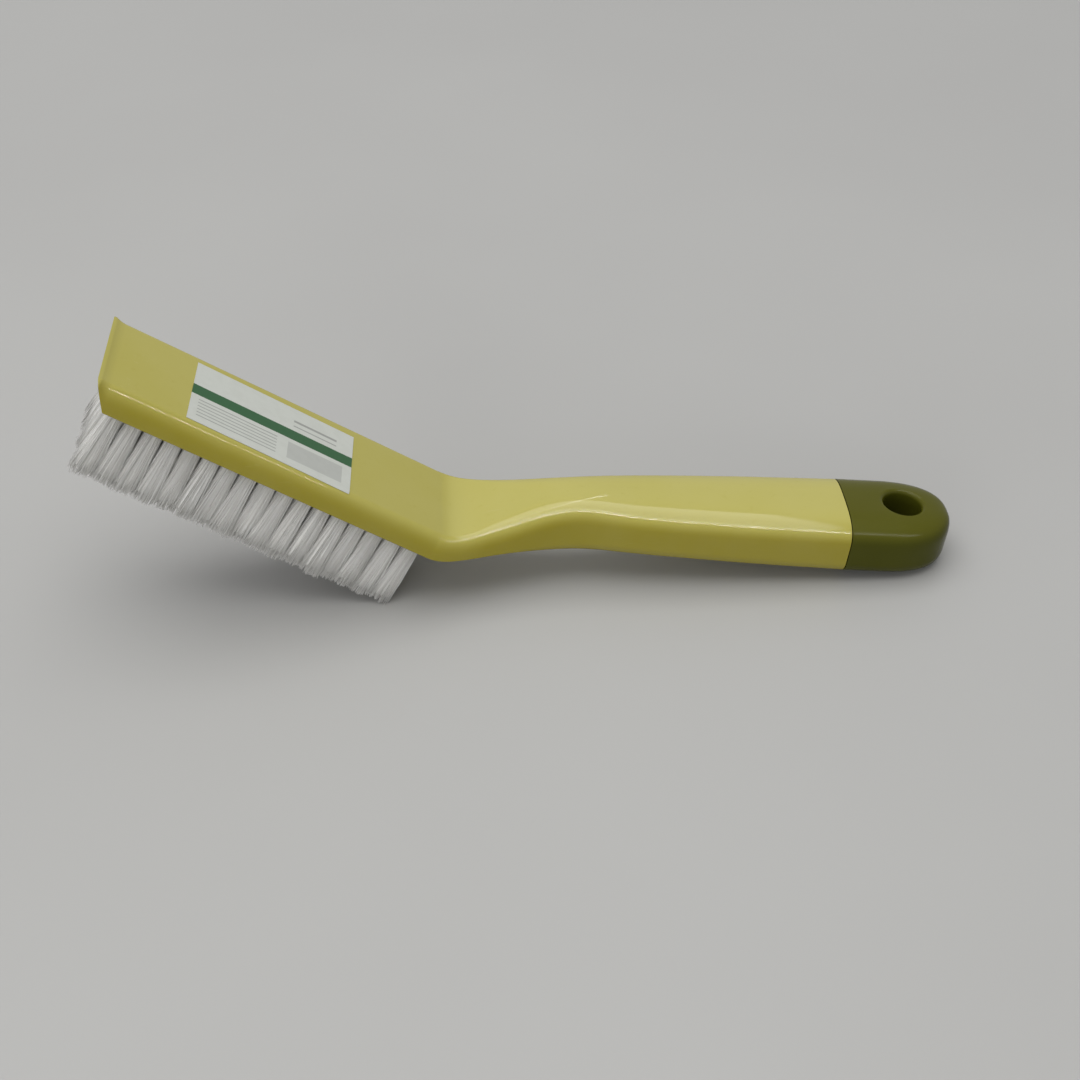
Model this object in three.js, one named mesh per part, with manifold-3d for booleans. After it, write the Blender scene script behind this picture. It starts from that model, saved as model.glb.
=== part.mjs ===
// Long-handled shoe brush: hollow moulded body, snap-in end cap, back label and four rows of tufts.
// The body is drawn about its handle axis and then laid down as the brush rests on a table.

import * as THREE from "three";
import { mergeVertices } from "three/addons/utils/BufferGeometryUtils.js";
import Module from "manifold-3d";

const kernel = await Module();
kernel.setup();

// Driving dimensions, millimetres and degrees

// Handle
const GRIP_LENGTH = 72;
const GRIP_WIDTH = 31.2;
const GRIP_CROWN = 9.3;
const GRIP_DEPTH = 8.55;
const GRIP_SHOULDER_DROP = 7.8;
const GRIP_FULLNESS = 3;
const GRIP_EDGE_RADIUS = 5;
const WAIST_WIDTH = 21.2;
const WAIST_CROWN = 8.5;
const WAIST_DEPTH = 8;
const WAIST_FROM_NECK = 13;
const HANDLE_WALL = 2.6;
const CORE_LENGTH = 68;

// Neck, the bend between handle and head
const NECK_THICKNESS = 7.6;
const NECK_REACH = 53.54;
const NECK_DROP = 2.49;
const NECK_EASE_GRIP = 27;
const NECK_EASE_HEAD = 10;

// Head
const HEAD_ANGLE = 26.8;
const HEAD_WIDTH = 37;
const HEAD_THICKNESS = 8.3;
const HEAD_EDGE_ACROSS = 3.7;
const HEAD_EDGE_DOWN = 5.8;
const HEAD_LOWER_RADIUS = 1;
const HEAD_REAR_MARGIN = 3.7;
const HEAD_FRONT_MARGIN = 4;
const TIP_RAKE = 31.5;
const LIP_RISE = 0.5;
const LIP_RADIUS = 11;
const LIP_FLARE = 0.4;
const RIM_EDGE_RADIUS = 2.5;
const RIM_THICKNESS = 1;

// Tufts
const TUFT_ROWS = 4;
const TUFTS_IN_ROW = 17;
const STRANDS_IN_TUFT = 5;
const ROW_SIDE_MARGIN = 5.7;
const TUFT_PITCH = 5.85;
const BRISTLE_LENGTH = 23;
const STRAND_RADIUS = 0.62;
const STRAND_TIP_RADIUS = 0.42;
const TUFT_RING_RADIUS = 1.4;
const TUFT_FLARE = 0.7;
const TUFT_ROOT_RADIUS = 2;
const TUFT_ROOT_DEPTH = 4;
const ANCHOR_THICKNESS = 0.5;
const ANCHOR_HEIGHT = 1.6;
const ANCHOR_OVERHANG = 0.35;
const SLICE_THICKNESS = 1.2;
const SLICE_MARGIN = 0.3;

// End cap
const CAP_LENGTH = 34;
const CAP_STRAIGHT = 13;
const CAP_END_FULLNESS = 2.3;
const CAP_CROWN_FULLNESS = 5.2;
const CAP_BELLY_FULLNESS = 9;
const CAP_HOLLOW_DEPTH = 6;
const PLUG_LENGTH = 18;
const PLUG_WALL = 2;
const BEAD_FROM_JOINT = 11;
const BEAD_HEIGHT = 0.5;
const BEAD_HALF_LENGTH = 1.5;
const HOLE_DIAMETER = 11.8;
const HOLE_FROM_JOINT = 18.6;
const HOLE_RIM_RADIUS = 1.8;
const REST_FROM_JOINT = 29.5;
const REST_FLAT_DEPTH = 0.2;

// Label
const LABEL_LENGTH = 50.8;
const LABEL_WIDTH = 28.2;
const LABEL_THICKNESS = 0.25;
const LABEL_FROM_NECK = 29.8;
const LABEL_OFFSET = -1.4;
const LABEL_SKEW = 1.2;

// Fits
const CLEARANCE = 0.3;
const JOINT_GAP = 0.3;
const LABEL_GAP = 0.1;

// Facet counts
const CORNER_STEPS = 8;
const NECK_STEPS = 18;
const GRIP_STEPS = 7;
const CAP_STEPS = 14;
const HOLE_SIDES = 6;
const ROUND_SIDES = 28;

// Worked-out sizes
const headAngle = THREE.MathUtils.degToRad(HEAD_ANGLE);
const rake = Math.tan(THREE.MathUtils.degToRad(TIP_RAKE));
const rowPitch = (HEAD_WIDTH - 2 * ROW_SIDE_MARGIN) / (TUFT_ROWS - 1);
const tuftRun = (TUFTS_IN_ROW - 1) * TUFT_PITCH;
const cornerAt = HEAD_REAR_MARGIN + tuftRun + HEAD_FRONT_MARGIN;
const tipAt = cornerAt + (HEAD_THICKNESS + LIP_RISE) * rake;
const lipRun = Math.sqrt(LIP_RADIUS ** 2 - (LIP_RADIUS - LIP_RISE) ** 2);
const socketRadius = TUFT_ROOT_RADIUS + ANCHOR_OVERHANG + CLEARANCE;
const socketDepth = SLICE_THICKNESS + TUFT_ROOT_DEPTH + CLEARANCE;
const sliceHalf = socketRadius + SLICE_MARGIN;

// The spine of the body, from the cap joint along the handle, round the neck and up the head
const gripEnd = new THREE.Vector2(-GRIP_LENGTH, 0);
const headStart = new THREE.Vector2(-GRIP_LENGTH - NECK_REACH, -NECK_DROP);
const headWay = new THREE.Vector2(-Math.cos(headAngle), Math.sin(headAngle));
const neck = new THREE.CubicBezierCurve(
  gripEnd,
  gripEnd.clone().add(new THREE.Vector2(-NECK_EASE_GRIP, 0)),
  headStart.clone().addScaledVector(headWay, -NECK_EASE_HEAD),
  headStart,
);
const neckLength = neck.getLength();
const headStation = GRIP_LENGTH + neckLength;

function spineAt(along) {
  if (along <= GRIP_LENGTH) {
    return { point: new THREE.Vector2(-along, 0), way: new THREE.Vector2(-1, 0) };
  }
  if (along < headStation) {
    const share = (along - GRIP_LENGTH) / neckLength;
    return { point: neck.getPointAt(share), way: neck.getTangentAt(share) };
  }
  return { point: headStart.clone().addScaledVector(headWay, along - headStation), way: headWay };
}

// A smooth curve through [position, value] pairs
function curveThrough(pairs) {
  const at = pairs.map((pair) => pair[0]);
  const values = pairs.map((pair) => pair[1]);
  const curve = new THREE.CubicInterpolant(at, values, 1);
  return (position) => curve.evaluate(position)[0];
}

const waistStation = GRIP_LENGTH + WAIST_FROM_NECK;
const neckMiddle = (waistStation + headStation) / 2;

const lerp = THREE.MathUtils.lerp;

const halfWidthOf = curveThrough([
  [0, GRIP_WIDTH / 2],
  [waistStation * 0.4, lerp(WAIST_WIDTH, GRIP_WIDTH, 0.8) / 2],
  [waistStation * 0.75, lerp(WAIST_WIDTH, GRIP_WIDTH, 0.43) / 2],
  [waistStation, WAIST_WIDTH / 2],
  [neckMiddle, lerp(WAIST_WIDTH, HEAD_WIDTH, 0.48) / 2],
  [headStation - 4, HEAD_WIDTH / 2],
  [headStation + 4, HEAD_WIDTH / 2],
]);

// Height of the back over the spine, and depth of the belly under it
const crownOf = curveThrough([
  [0, GRIP_CROWN],
  [waistStation * 0.75, lerp(WAIST_CROWN, GRIP_CROWN, 0.3)],
  [waistStation, WAIST_CROWN],
  [neckMiddle, lerp(NECK_THICKNESS / 2, WAIST_CROWN, 0.33)],
  [headStation - 10, NECK_THICKNESS / 2],
  [headStation, HEAD_THICKNESS / 2],
]);

const depthOf = curveThrough([
  [0, GRIP_DEPTH],
  [waistStation * 0.75, WAIST_DEPTH],
  [waistStation, WAIST_DEPTH],
  [neckMiddle, lerp(NECK_THICKNESS / 2, WAIST_DEPTH, 0.18)],
  [headStation - 10, NECK_THICKNESS / 2 - 0.2],
  [headStation, HEAD_THICKNESS / 2],
]);

function sectionOf(along) {
  const share = THREE.MathUtils.smoothstep(along, GRIP_LENGTH, headStation - 10);
  const onHead = along >= headStation;
  const half = onHead ? HEAD_WIDTH / 2 : halfWidthOf(along);
  return {
    half,
    top: onHead ? HEAD_THICKNESS / 2 : crownOf(along),
    bottom: onHead ? HEAD_THICKNESS / 2 : depthOf(along),
    upperAcross: lerp(half, HEAD_EDGE_ACROSS, share),
    upperDown: lerp(GRIP_SHOULDER_DROP, HEAD_EDGE_DOWN, share),
    fullness: lerp(GRIP_FULLNESS, 2, share),
    lower: lerp(GRIP_EDGE_RADIUS, HEAD_LOWER_RADIUS, share),
  };
}

function ovalOf(part, fullness) {
  const size = Math.abs(part) < 1e-9 ? 0 : Math.abs(part);
  return Math.sign(part) * size ** (2 / fullness);
}

// One ring of points round a section, drawn in at the sides by inset. The upper corners are quarters
// of an oval: a fullness of 2 is an ellipse, more is squarer
function ringAt(along, section, inset = 0) {
  const { point, way } = spineAt(along);
  const half = section.half - inset;
  const top = section.top - inset;
  const bottom = section.bottom - inset;
  const least = 0.3;
  let upperDown = Math.max(section.upperDown - inset, least);
  let lower = Math.max(section.lower - inset, least);
  const upperAcross = Math.max(section.upperAcross - inset, least);
  const squeeze = Math.min(1, (0.94 * (top + bottom)) / (upperDown + lower));
  upperDown *= squeeze;
  lower *= squeeze;
  const full = section.fullness;
  const corners = [
    { across: half - upperAcross, up: top - upperDown, a: upperAcross, b: upperDown, full },
    { across: upperAcross - half, up: top - upperDown, a: upperAcross, b: upperDown, full },
    { across: lower - half, up: lower - bottom, a: lower, b: lower, full: 2 },
    { across: half - lower, up: lower - bottom, a: lower, b: lower, full: 2 },
  ];
  const ring = [];
  corners.forEach((corner, quarter) => {
    for (let step = 0; step <= CORNER_STEPS; step += 1) {
      const angle = (quarter + step / CORNER_STEPS) * (Math.PI / 2);
      const across = corner.across + corner.a * ovalOf(Math.cos(angle), corner.full);
      const up = corner.up + corner.b * ovalOf(Math.sin(angle), corner.full);
      ring.push(new THREE.Vector3(point.x + way.y * up, across, point.y - way.x * up));
    }
  });
  return ring;
}

// A closed body through rings of equal count, with a flat fan on each end
function loft(rings) {
  const count = rings[0].length;
  const positions = rings.flat().flatMap((p) => [p.x, p.y, p.z]);
  const index = [];
  for (let r = 0; r + 1 < rings.length; r += 1) {
    for (let i = 0; i < count; i += 1) {
      const j = (i + 1) % count;
      const near = r * count;
      const far = near + count;
      index.push(near + i, far + j, near + j, near + i, far + i, far + j);
    }
  }
  const last = (rings.length - 1) * count;
  for (let i = 1; i + 1 < count; i += 1) {
    index.push(0, i, i + 1);
    index.push(last, last + i + 1, last + i);
  }
  const geometry = new THREE.BufferGeometry();
  geometry.setAttribute("position", new THREE.Float32BufferAttribute(positions, 3));
  geometry.setIndex(index);
  return geometry;
}

// Between three.js geometry and the boolean kernel
function solidOf(geometry) {
  const bare = new THREE.BufferGeometry();
  bare.setAttribute("position", geometry.getAttribute("position").clone());
  if (geometry.getIndex()) {
    bare.setIndex(geometry.getIndex().clone());
  }
  const welded = mergeVertices(bare, 1e-4);
  return new kernel.Manifold(new kernel.Mesh({
    numProp: 3,
    vertProperties: new Float32Array(welded.getAttribute("position").array),
    triVerts: new Uint32Array(welded.getIndex().array),
  }));
}

function geometryOf(solid) {
  const mesh = solid.getMesh();
  const geometry = new THREE.BufferGeometry();
  geometry.setAttribute("position", new THREE.BufferAttribute(mesh.vertProperties, 3));
  geometry.setIndex(new THREE.BufferAttribute(mesh.triVerts, 1));
  return geometry;
}

function box(lengthX, lengthY, lengthZ, x, y, z) {
  return new THREE.BoxGeometry(lengthX, lengthY, lengthZ).translate(x, y, z);
}

// An upright bar for tuft roots and sockets, a flat of it facing across the head
function roundBar(radius, height) {
  return new THREE.CylinderGeometry(radius, radius, height, HOLE_SIDES)
    .rotateX(Math.PI / 2)
    .rotateZ(Math.PI / HOLE_SIDES);
}

// Head coordinates: x back towards the neck, y across, z out of the back, zero at mid thickness
const headMatrix = new THREE.Matrix4()
  .makeRotationY(headAngle)
  .setPosition(headStart.x, 0, headStart.y);
const underside = -HEAD_THICKNESS / 2;

function tuftCentre(row, place) {
  return {
    x: -(HEAD_REAR_MARGIN + place * TUFT_PITCH),
    y: (row - (TUFT_ROWS - 1) / 2) * rowPitch,
  };
}

const tufts = [];
for (let row = 0; row < TUFT_ROWS; row += 1) {
  for (let place = 0; place < TUFTS_IN_ROW; place += 1) {
    tufts.push({ row, ...tuftCentre(row, place) });
  }
}

// Body: one loft from the joint to the raked tip
const stations = [];
for (let step = 0; step < GRIP_STEPS; step += 1) {
  stations.push((step / GRIP_STEPS) * GRIP_LENGTH);
}
for (let step = 0; step < NECK_STEPS; step += 1) {
  stations.push(GRIP_LENGTH + (step / NECK_STEPS) * neckLength);
}
stations.push(headStation);
stations.push(headStation + LABEL_FROM_NECK - 3);
stations.push(headStation + LABEL_FROM_NECK + LABEL_LENGTH + 3);

const bodyRings = stations.map((along) => ringAt(along, sectionOf(along)));

// The tip: the back and the sides curl out into a lip, and a raked cut takes off the end
function curledSection(share) {
  const section = sectionOf(headStation);
  section.top += LIP_RISE * share;
  section.half += LIP_FLARE * share;
  section.upperAcross = lerp(HEAD_EDGE_ACROSS, RIM_EDGE_RADIUS, share);
  section.upperDown = lerp(HEAD_EDGE_DOWN, RIM_EDGE_RADIUS, share);
  return section;
}

const curlStart = tipAt - RIM_THICKNESS - lipRun;
const curlSteps = 4;
for (let step = 0; step <= curlSteps; step += 1) {
  const run = (step / curlSteps) * lipRun;
  const share = (LIP_RADIUS - Math.sqrt(LIP_RADIUS ** 2 - run ** 2)) / LIP_RISE;
  bodyRings.push(ringAt(headStation + curlStart + run, curledSection(share)));
}
bodyRings.push(ringAt(headStation + tipAt + 1, curledSection(1)));
const tipCut = box(HEAD_WIDTH, HEAD_WIDTH * 2, HEAD_WIDTH * 2, -HEAD_WIDTH / 2, 0, 0)
  .rotateY(-THREE.MathUtils.degToRad(TIP_RAKE))
  .translate(-cornerAt, 0, -HEAD_THICKNESS / 2)
  .applyMatrix4(headMatrix);

// Snap bead on the plug and the groove for it in the handle's core
function beadAt(along) {
  const reach = Math.abs(along - BEAD_FROM_JOINT) / BEAD_HALF_LENGTH;
  return reach < 1 ? BEAD_HEIGHT * (1 - reach) : 0;
}

const beadStations = [-BEAD_HALF_LENGTH, 0, BEAD_HALF_LENGTH].map((d) => BEAD_FROM_JOINT + d);
const coreStations = [0, ...beadStations, PLUG_LENGTH + 2, CORE_LENGTH * 0.6, CORE_LENGTH];
const coreRings = [
  ringAt(-1, sectionOf(0), HANDLE_WALL),
  ...coreStations.map((along) => ringAt(along, sectionOf(along), HANDLE_WALL - beadAt(along))),
  ringAt(CORE_LENGTH + 2, sectionOf(CORE_LENGTH), HANDLE_WALL + 2),
];

const sockets = tufts.map((tuft) => {
  const height = socketDepth + 1;
  return roundBar(socketRadius, height)
    .translate(tuft.x, tuft.y, underside + socketDepth - height / 2);
});

const sliceLength = tuftRun + 2 * sliceHalf;
const sliceMiddle = -(HEAD_REAR_MARGIN + tuftRun / 2);
const recesses = [];
for (let row = 0; row < TUFT_ROWS; row += 1) {
  const depth = SLICE_THICKNESS + CLEARANCE;
  recesses.push(box(
    sliceLength + 2 * CLEARANCE,
    2 * (sliceHalf + CLEARANCE),
    depth + 1,
    sliceMiddle,
    tuftCentre(row, 0).y,
    underside + depth - (depth + 1) / 2,
  ));
}
const headCuts = kernel.Manifold.union(
  [...recesses, ...sockets].map((cut) => solidOf(cut.applyMatrix4(headMatrix))),
);
const body = solidOf(loft(bodyRings))
  .subtract(solidOf(tipCut))
  .subtract(solidOf(loft(coreRings)))
  .subtract(headCuts);

// Tuft rows: a slice of the head's underside, its tufts, and the folded roots on their wire anchors
function strand(tuft, turn) {
  const out = new THREE.Vector2(Math.cos(turn), Math.sin(turn));
  const rootRise = SLICE_THICKNESS / 2;
  const height = BRISTLE_LENGTH + rootRise;
  const shape = new THREE.CylinderGeometry(STRAND_RADIUS, STRAND_TIP_RADIUS, height, 3, 1);
  shape.rotateX(Math.PI / 2);
  shape.rotateZ(turn - Math.PI / 2);
  const lean = TUFT_FLARE / BRISTLE_LENGTH;
  const slant = new THREE.Matrix4().makeShear(0, 0, 0, 0, 0, 0);
  slant.elements[8] = -lean * out.x;
  slant.elements[9] = -lean * out.y;
  shape.translate(0, 0, rootRise - height / 2);
  shape.applyMatrix4(slant);
  return shape.translate(
    tuft.x + TUFT_RING_RADIUS * out.x,
    tuft.y + TUFT_RING_RADIUS * out.y,
    underside,
  );
}

function rowOfTufts(row) {
  const own = tufts.filter((tuft) => tuft.row === row);
  const centreY = own[0].y;
  const pieces = [box(
    sliceLength,
    2 * sliceHalf,
    SLICE_THICKNESS,
    sliceMiddle,
    centreY,
    underside + SLICE_THICKNESS / 2,
  )];
  for (const tuft of own) {
    const rootHeight = TUFT_ROOT_DEPTH + SLICE_THICKNESS / 2;
    const crown = underside + SLICE_THICKNESS + TUFT_ROOT_DEPTH;
    pieces.push(roundBar(TUFT_ROOT_RADIUS, rootHeight)
      .translate(tuft.x, tuft.y, crown - rootHeight / 2));
    pieces.push(box(
      ANCHOR_THICKNESS,
      2 * (TUFT_ROOT_RADIUS + ANCHOR_OVERHANG) * Math.cos(Math.PI / HOLE_SIDES),
      ANCHOR_HEIGHT,
      tuft.x,
      tuft.y,
      crown - 0.4 - ANCHOR_HEIGHT / 2,
    ));
    for (let n = 0; n < STRANDS_IN_TUFT; n += 1) {
      pieces.push(strand(tuft, ((n + 0.5) / STRANDS_IN_TUFT) * 2 * Math.PI));
    }
  }
  return kernel.Manifold.union(pieces.map(solidOf));
}

// End cap: the handle's section carried on from the joint and drawn in to a rounded end
function capSection(reach) {
  const share = Math.max(0, (reach - CAP_STRAIGHT) / (CAP_LENGTH - CAP_STRAIGHT));
  const drawnIn = (fullness) => (1 - share ** fullness) ** (1 / fullness);
  const section = sectionOf(0);
  section.half *= drawnIn(CAP_END_FULLNESS);
  section.top *= drawnIn(CAP_CROWN_FULLNESS);
  section.bottom *= drawnIn(CAP_BELLY_FULLNESS);
  section.upperAcross = section.half;
  section.upperDown *= drawnIn(CAP_CROWN_FULLNESS);
  section.lower = Math.min(section.lower, section.half * 0.9);
  return section;
}

const capReaches = [];
for (let step = CAP_STEPS; step >= 0; step -= 1) {
  const turn = (step / CAP_STEPS) * 0.975 * (Math.PI / 2);
  capReaches.push(CAP_STRAIGHT + (CAP_LENGTH - CAP_STRAIGHT) * Math.sin(turn));
}
capReaches.push(JOINT_GAP);
const capRings = capReaches.map((reach) => ringAt(-reach, capSection(reach)));

const plugStations = [...beadStations, PLUG_LENGTH];
const plugInset = HANDLE_WALL + CLEARANCE;
const plugRings = [
  ringAt(-CAP_HOLLOW_DEPTH / 2, sectionOf(0), plugInset),
  ringAt(0, sectionOf(0), plugInset),
  ...plugStations.map((along) => ringAt(along, sectionOf(along), plugInset - beadAt(along))),
];
const hollowRings = [-CAP_HOLLOW_DEPTH, 0, PLUG_LENGTH + 1].map((along) => {
  return ringAt(along, sectionOf(Math.max(along, 0)), plugInset + PLUG_WALL);
});

const holeRadius = HOLE_DIAMETER / 2;
const holeProfile = new THREE.Path();
holeProfile.moveTo(0, -GRIP_DEPTH - 1);
holeProfile.lineTo(holeRadius + HOLE_RIM_RADIUS, -GRIP_DEPTH - 1);
holeProfile.lineTo(holeRadius + HOLE_RIM_RADIUS, -GRIP_DEPTH);
holeProfile.absarc(
  holeRadius + HOLE_RIM_RADIUS,
  HOLE_RIM_RADIUS - GRIP_DEPTH,
  HOLE_RIM_RADIUS,
  -Math.PI / 2,
  -Math.PI,
  true,
);
holeProfile.absarc(
  holeRadius + HOLE_RIM_RADIUS,
  GRIP_CROWN - HOLE_RIM_RADIUS,
  HOLE_RIM_RADIUS,
  Math.PI,
  Math.PI / 2,
  true,
);
holeProfile.lineTo(holeRadius + HOLE_RIM_RADIUS, GRIP_CROWN + 1);
holeProfile.lineTo(0, GRIP_CROWN + 1);
const hangingHole = new THREE.LatheGeometry(holeProfile.getPoints(3), ROUND_SIDES)
  .rotateX(Math.PI / 2)
  .translate(HOLE_FROM_JOINT, 0, 0);

// Lying on a table the brush bears on the hindmost bristle tips and on a small flat under the cap
const restPoint = new THREE.Vector2(
  REST_FROM_JOINT,
  REST_FLAT_DEPTH - capSection(REST_FROM_JOINT).bottom,
);
let restTilt = 0;
for (const tuft of tufts) {
  for (let n = 0; n < STRANDS_IN_TUFT; n += 1) {
    const tips = strand(tuft, ((n + 0.5) / STRANDS_IN_TUFT) * 2 * Math.PI)
      .applyMatrix4(headMatrix)
      .getAttribute("position");
    for (let v = 0; v < tips.count; v += 1) {
      const drop = Math.atan2(restPoint.y - tips.getZ(v), restPoint.x - tips.getX(v));
      restTilt = Math.max(restTilt, drop);
    }
  }
}
const tableCut = box(CAP_LENGTH * 4, GRIP_WIDTH * 2, GRIP_DEPTH, 0, 0, -GRIP_DEPTH / 2)
  .rotateY(-restTilt)
  .translate(restPoint.x, 0, restPoint.y);

const cap = solidOf(loft(capRings))
  .subtract(solidOf(tableCut))
  .add(solidOf(loft(plugRings)))
  .subtract(solidOf(loft(hollowRings)))
  .subtract(solidOf(hangingHole));

// Assembly
function piece(name, geometry, colour, roughness) {
  const material = new THREE.MeshStandardMaterial({ color: colour, roughness, metalness: 0 });
  const mesh = new THREE.Mesh(geometry, material);
  mesh.name = name;
  return mesh;
}

const brush = new THREE.Group();
brush.rotation.y = restTilt;
brush.add(piece("brush_body", geometryOf(body), 0xb9ad55, 0.3));
brush.add(piece("end_cap", geometryOf(cap), 0x57572a, 0.35));

const head = new THREE.Group();
head.rotation.y = headAngle;
head.position.set(headStart.x, 0, headStart.y);
brush.add(head);

const labelPiece = piece(
  "label",
  new THREE.BoxGeometry(LABEL_LENGTH, LABEL_WIDTH, LABEL_THICKNESS),
  0xe8e6dc,
  0.6,
);
labelPiece.position.set(
  -(LABEL_FROM_NECK + LABEL_LENGTH / 2),
  LABEL_OFFSET,
  HEAD_THICKNESS / 2 + LABEL_GAP + LABEL_THICKNESS / 2,
);
labelPiece.rotation.z = -THREE.MathUtils.degToRad(LABEL_SKEW);
head.add(labelPiece);

for (let row = 0; row < TUFT_ROWS; row += 1) {
  head.add(piece(`tuft_row_${row + 1}`, geometryOf(rowOfTufts(row)), 0xd9d7ce, 0.5));
}

// The origin lies on the table under the middle of the part
const part = new THREE.Group();
part.name = "shoe_brush";
part.add(brush);
part.updateMatrixWorld(true);
const extent = new THREE.Box3().setFromObject(part, true);
const middle = extent.getCenter(new THREE.Vector3());
brush.position.set(-middle.x, -middle.y, -extent.min.z);
part.updateMatrixWorld(true);

export default part;
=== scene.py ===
# Long-handled shoe brush: moulded lime body, olive end cap, film label and nylon tufts
import bisect
import math
import random

import bmesh
import bpy
from mathutils import Matrix, Vector


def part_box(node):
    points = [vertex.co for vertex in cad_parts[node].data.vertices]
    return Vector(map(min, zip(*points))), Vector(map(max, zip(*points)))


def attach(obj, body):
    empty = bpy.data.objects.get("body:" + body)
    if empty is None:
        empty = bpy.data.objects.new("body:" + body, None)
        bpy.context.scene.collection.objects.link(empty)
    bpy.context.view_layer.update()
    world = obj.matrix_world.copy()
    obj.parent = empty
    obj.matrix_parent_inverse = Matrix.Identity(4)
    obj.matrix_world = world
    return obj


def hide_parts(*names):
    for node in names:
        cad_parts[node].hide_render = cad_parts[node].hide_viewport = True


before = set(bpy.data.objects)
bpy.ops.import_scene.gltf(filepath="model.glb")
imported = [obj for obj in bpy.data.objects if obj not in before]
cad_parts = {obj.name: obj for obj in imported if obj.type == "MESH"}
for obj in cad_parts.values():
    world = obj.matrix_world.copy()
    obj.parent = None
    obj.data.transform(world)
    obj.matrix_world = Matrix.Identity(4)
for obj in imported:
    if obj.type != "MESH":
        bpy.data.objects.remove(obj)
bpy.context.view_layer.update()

MM = 0.001

# Handle sizes, millimetres and degrees, as the solids have them
GRIP_LENGTH = 72
GRIP_WIDTH = 31.2
GRIP_CROWN = 9.3
GRIP_DEPTH = 8.55
GRIP_SHOULDER_DROP = 7.8
GRIP_FULLNESS = 3
GRIP_EDGE_RADIUS = 5
WAIST_WIDTH = 21.2
WAIST_CROWN = 8.5
WAIST_DEPTH = 8
WAIST_FROM_NECK = 13
HANDLE_WALL = 2.6
SOCKET_LENGTH = 21
PLUG_LENGTH = 18
REST_TILT = math.radians(6.0084)

# Neck
NECK_THICKNESS = 7.6
NECK_REACH = 53.54
NECK_DROP = 2.49
NECK_EASE_GRIP = 27
NECK_EASE_HEAD = 10
NECK_THIN_BEFORE_HEAD = 10
NECK_WIDE_BEFORE_HEAD = 4

# Head
HEAD_ANGLE = math.radians(26.8)
HEAD_WIDTH = 37
HEAD_THICKNESS = 8.3
HEAD_EDGE_ACROSS = 3.7
HEAD_EDGE_DOWN = 5.8
HEAD_LOWER_RADIUS = 1
HEAD_REAR_MARGIN = 3.7
HEAD_FRONT_MARGIN = 4
TIP_RAKE = math.radians(31.5)
LIP_RISE = 0.5
LIP_RADIUS = 11
LIP_FLARE = 0.4
RIM_EDGE_ACROSS = 3.5
RIM_EDGE_DOWN = 5.6
RIM_THICKNESS = 1
TIP_EDGE_RADIUS = 0.4

# Tufts
TUFT_ROWS = 4
TUFTS_IN_ROW = 17
ROW_SIDE_MARGIN = 5.7
TUFT_PITCH = 5.85
BRISTLE_LENGTH = 23
TUFT_ROOT_RADIUS = 2.12
TUFT_TIP_REACH = 3.75
TUFT_TIP_SQUARENESS = 0.7
TUFT_HOLE_RADIUS = 2.42
TUFT_HOLE_DEPTH = 3
TUFT_HOLE_FLARE = 0.55
TUFT_HOLE_COUNTERSINK = 0.25
TUFT_HOLE_OVERRUN = 0.3
TUFT_HOLE_SIDES = 20
TUFT_SEAT_DEPTH = 2.4
TUFT_SHAPES = 7
TUFT_LEAN_ALONG = 0.012
TUFT_LEAN_ACROSS = 0.024
FRONT_TUFT_LEAN = 0.02
LEANING_TUFTS = 4
FILAMENTS_IN_TUFT = 300
FILAMENT_RADIUS = 0.13
FILAMENT_TAPER = 0.72
FILAMENT_WANDER = 0.22
FILAMENT_BOW = 0.2
FILAMENT_TWIST = 0.15
FILAMENT_CROWDING = 0.32
FILAMENT_LENGTHS = (-0.02, 0.01)
STRAY_SHARE = 0.05
STRAY_LENGTHS = (-0.03, 0.014)
CLUMPS_IN_TUFT = 9
CLUMP_UNEVENNESS = 0.012
CORE_SHARE = 0.86
CORE_SIDES = 16
CORE_FILLS = ((0, 1), (0.2, 1), (0.4, 1), (0.6, 1), (0.8, 1), (0.9, 0.96), (0.94, 0.75))
CORE_TONE = 0.4
FLOOR_CLEARANCE = 0.1

# End cap
CAP_LENGTH = 34
CAP_STRAIGHT = 13
CAP_END_FULLNESS = 2.3
CAP_CROWN_FULLNESS = 5.2
CAP_BELLY_FULLNESS = 9
CAP_END_SHARE = 0.985
HOLE_RADIUS = 5.9
HOLE_FROM_JOINT = 18.6
HOLE_RIM_RADIUS = 1.8
HOLE_RIM_STEPS = 6
HOLE_SIDES = 64
HOLE_OVERRUN = 1
HOLE_OVERRUN_FLARE = 0.4
PARTING_GAP = 0.28
PARTING_EDGE_RADIUS = 0.12
PLUG_CLEARANCE = 0.3

# Label
LABEL_LENGTH = 50.8
LABEL_WIDTH = 28.2
LABEL_FROM_NECK = 29.8
LABEL_OFFSET = -1.4
LABEL_SKEW = math.radians(1.2)
FILM_THICKNESS = 0.14
FILM_GAP = 0.03
FILM_RIPPLE = 0.012
FILM_EDGE_LIFT = 0.02

# Mesh fineness
CORNER_STEPS = 12
GRIP_STEPS = 24
NECK_STEPS = 56
HEAD_REACHES = (0, 8, 28, 48, 68, 88)
CURL_STEPS = 10
CAP_STEPS = 36
LABEL_CELLS_ALONG = 60
LABEL_CELLS_ACROSS = 34

random.seed(7)

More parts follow.
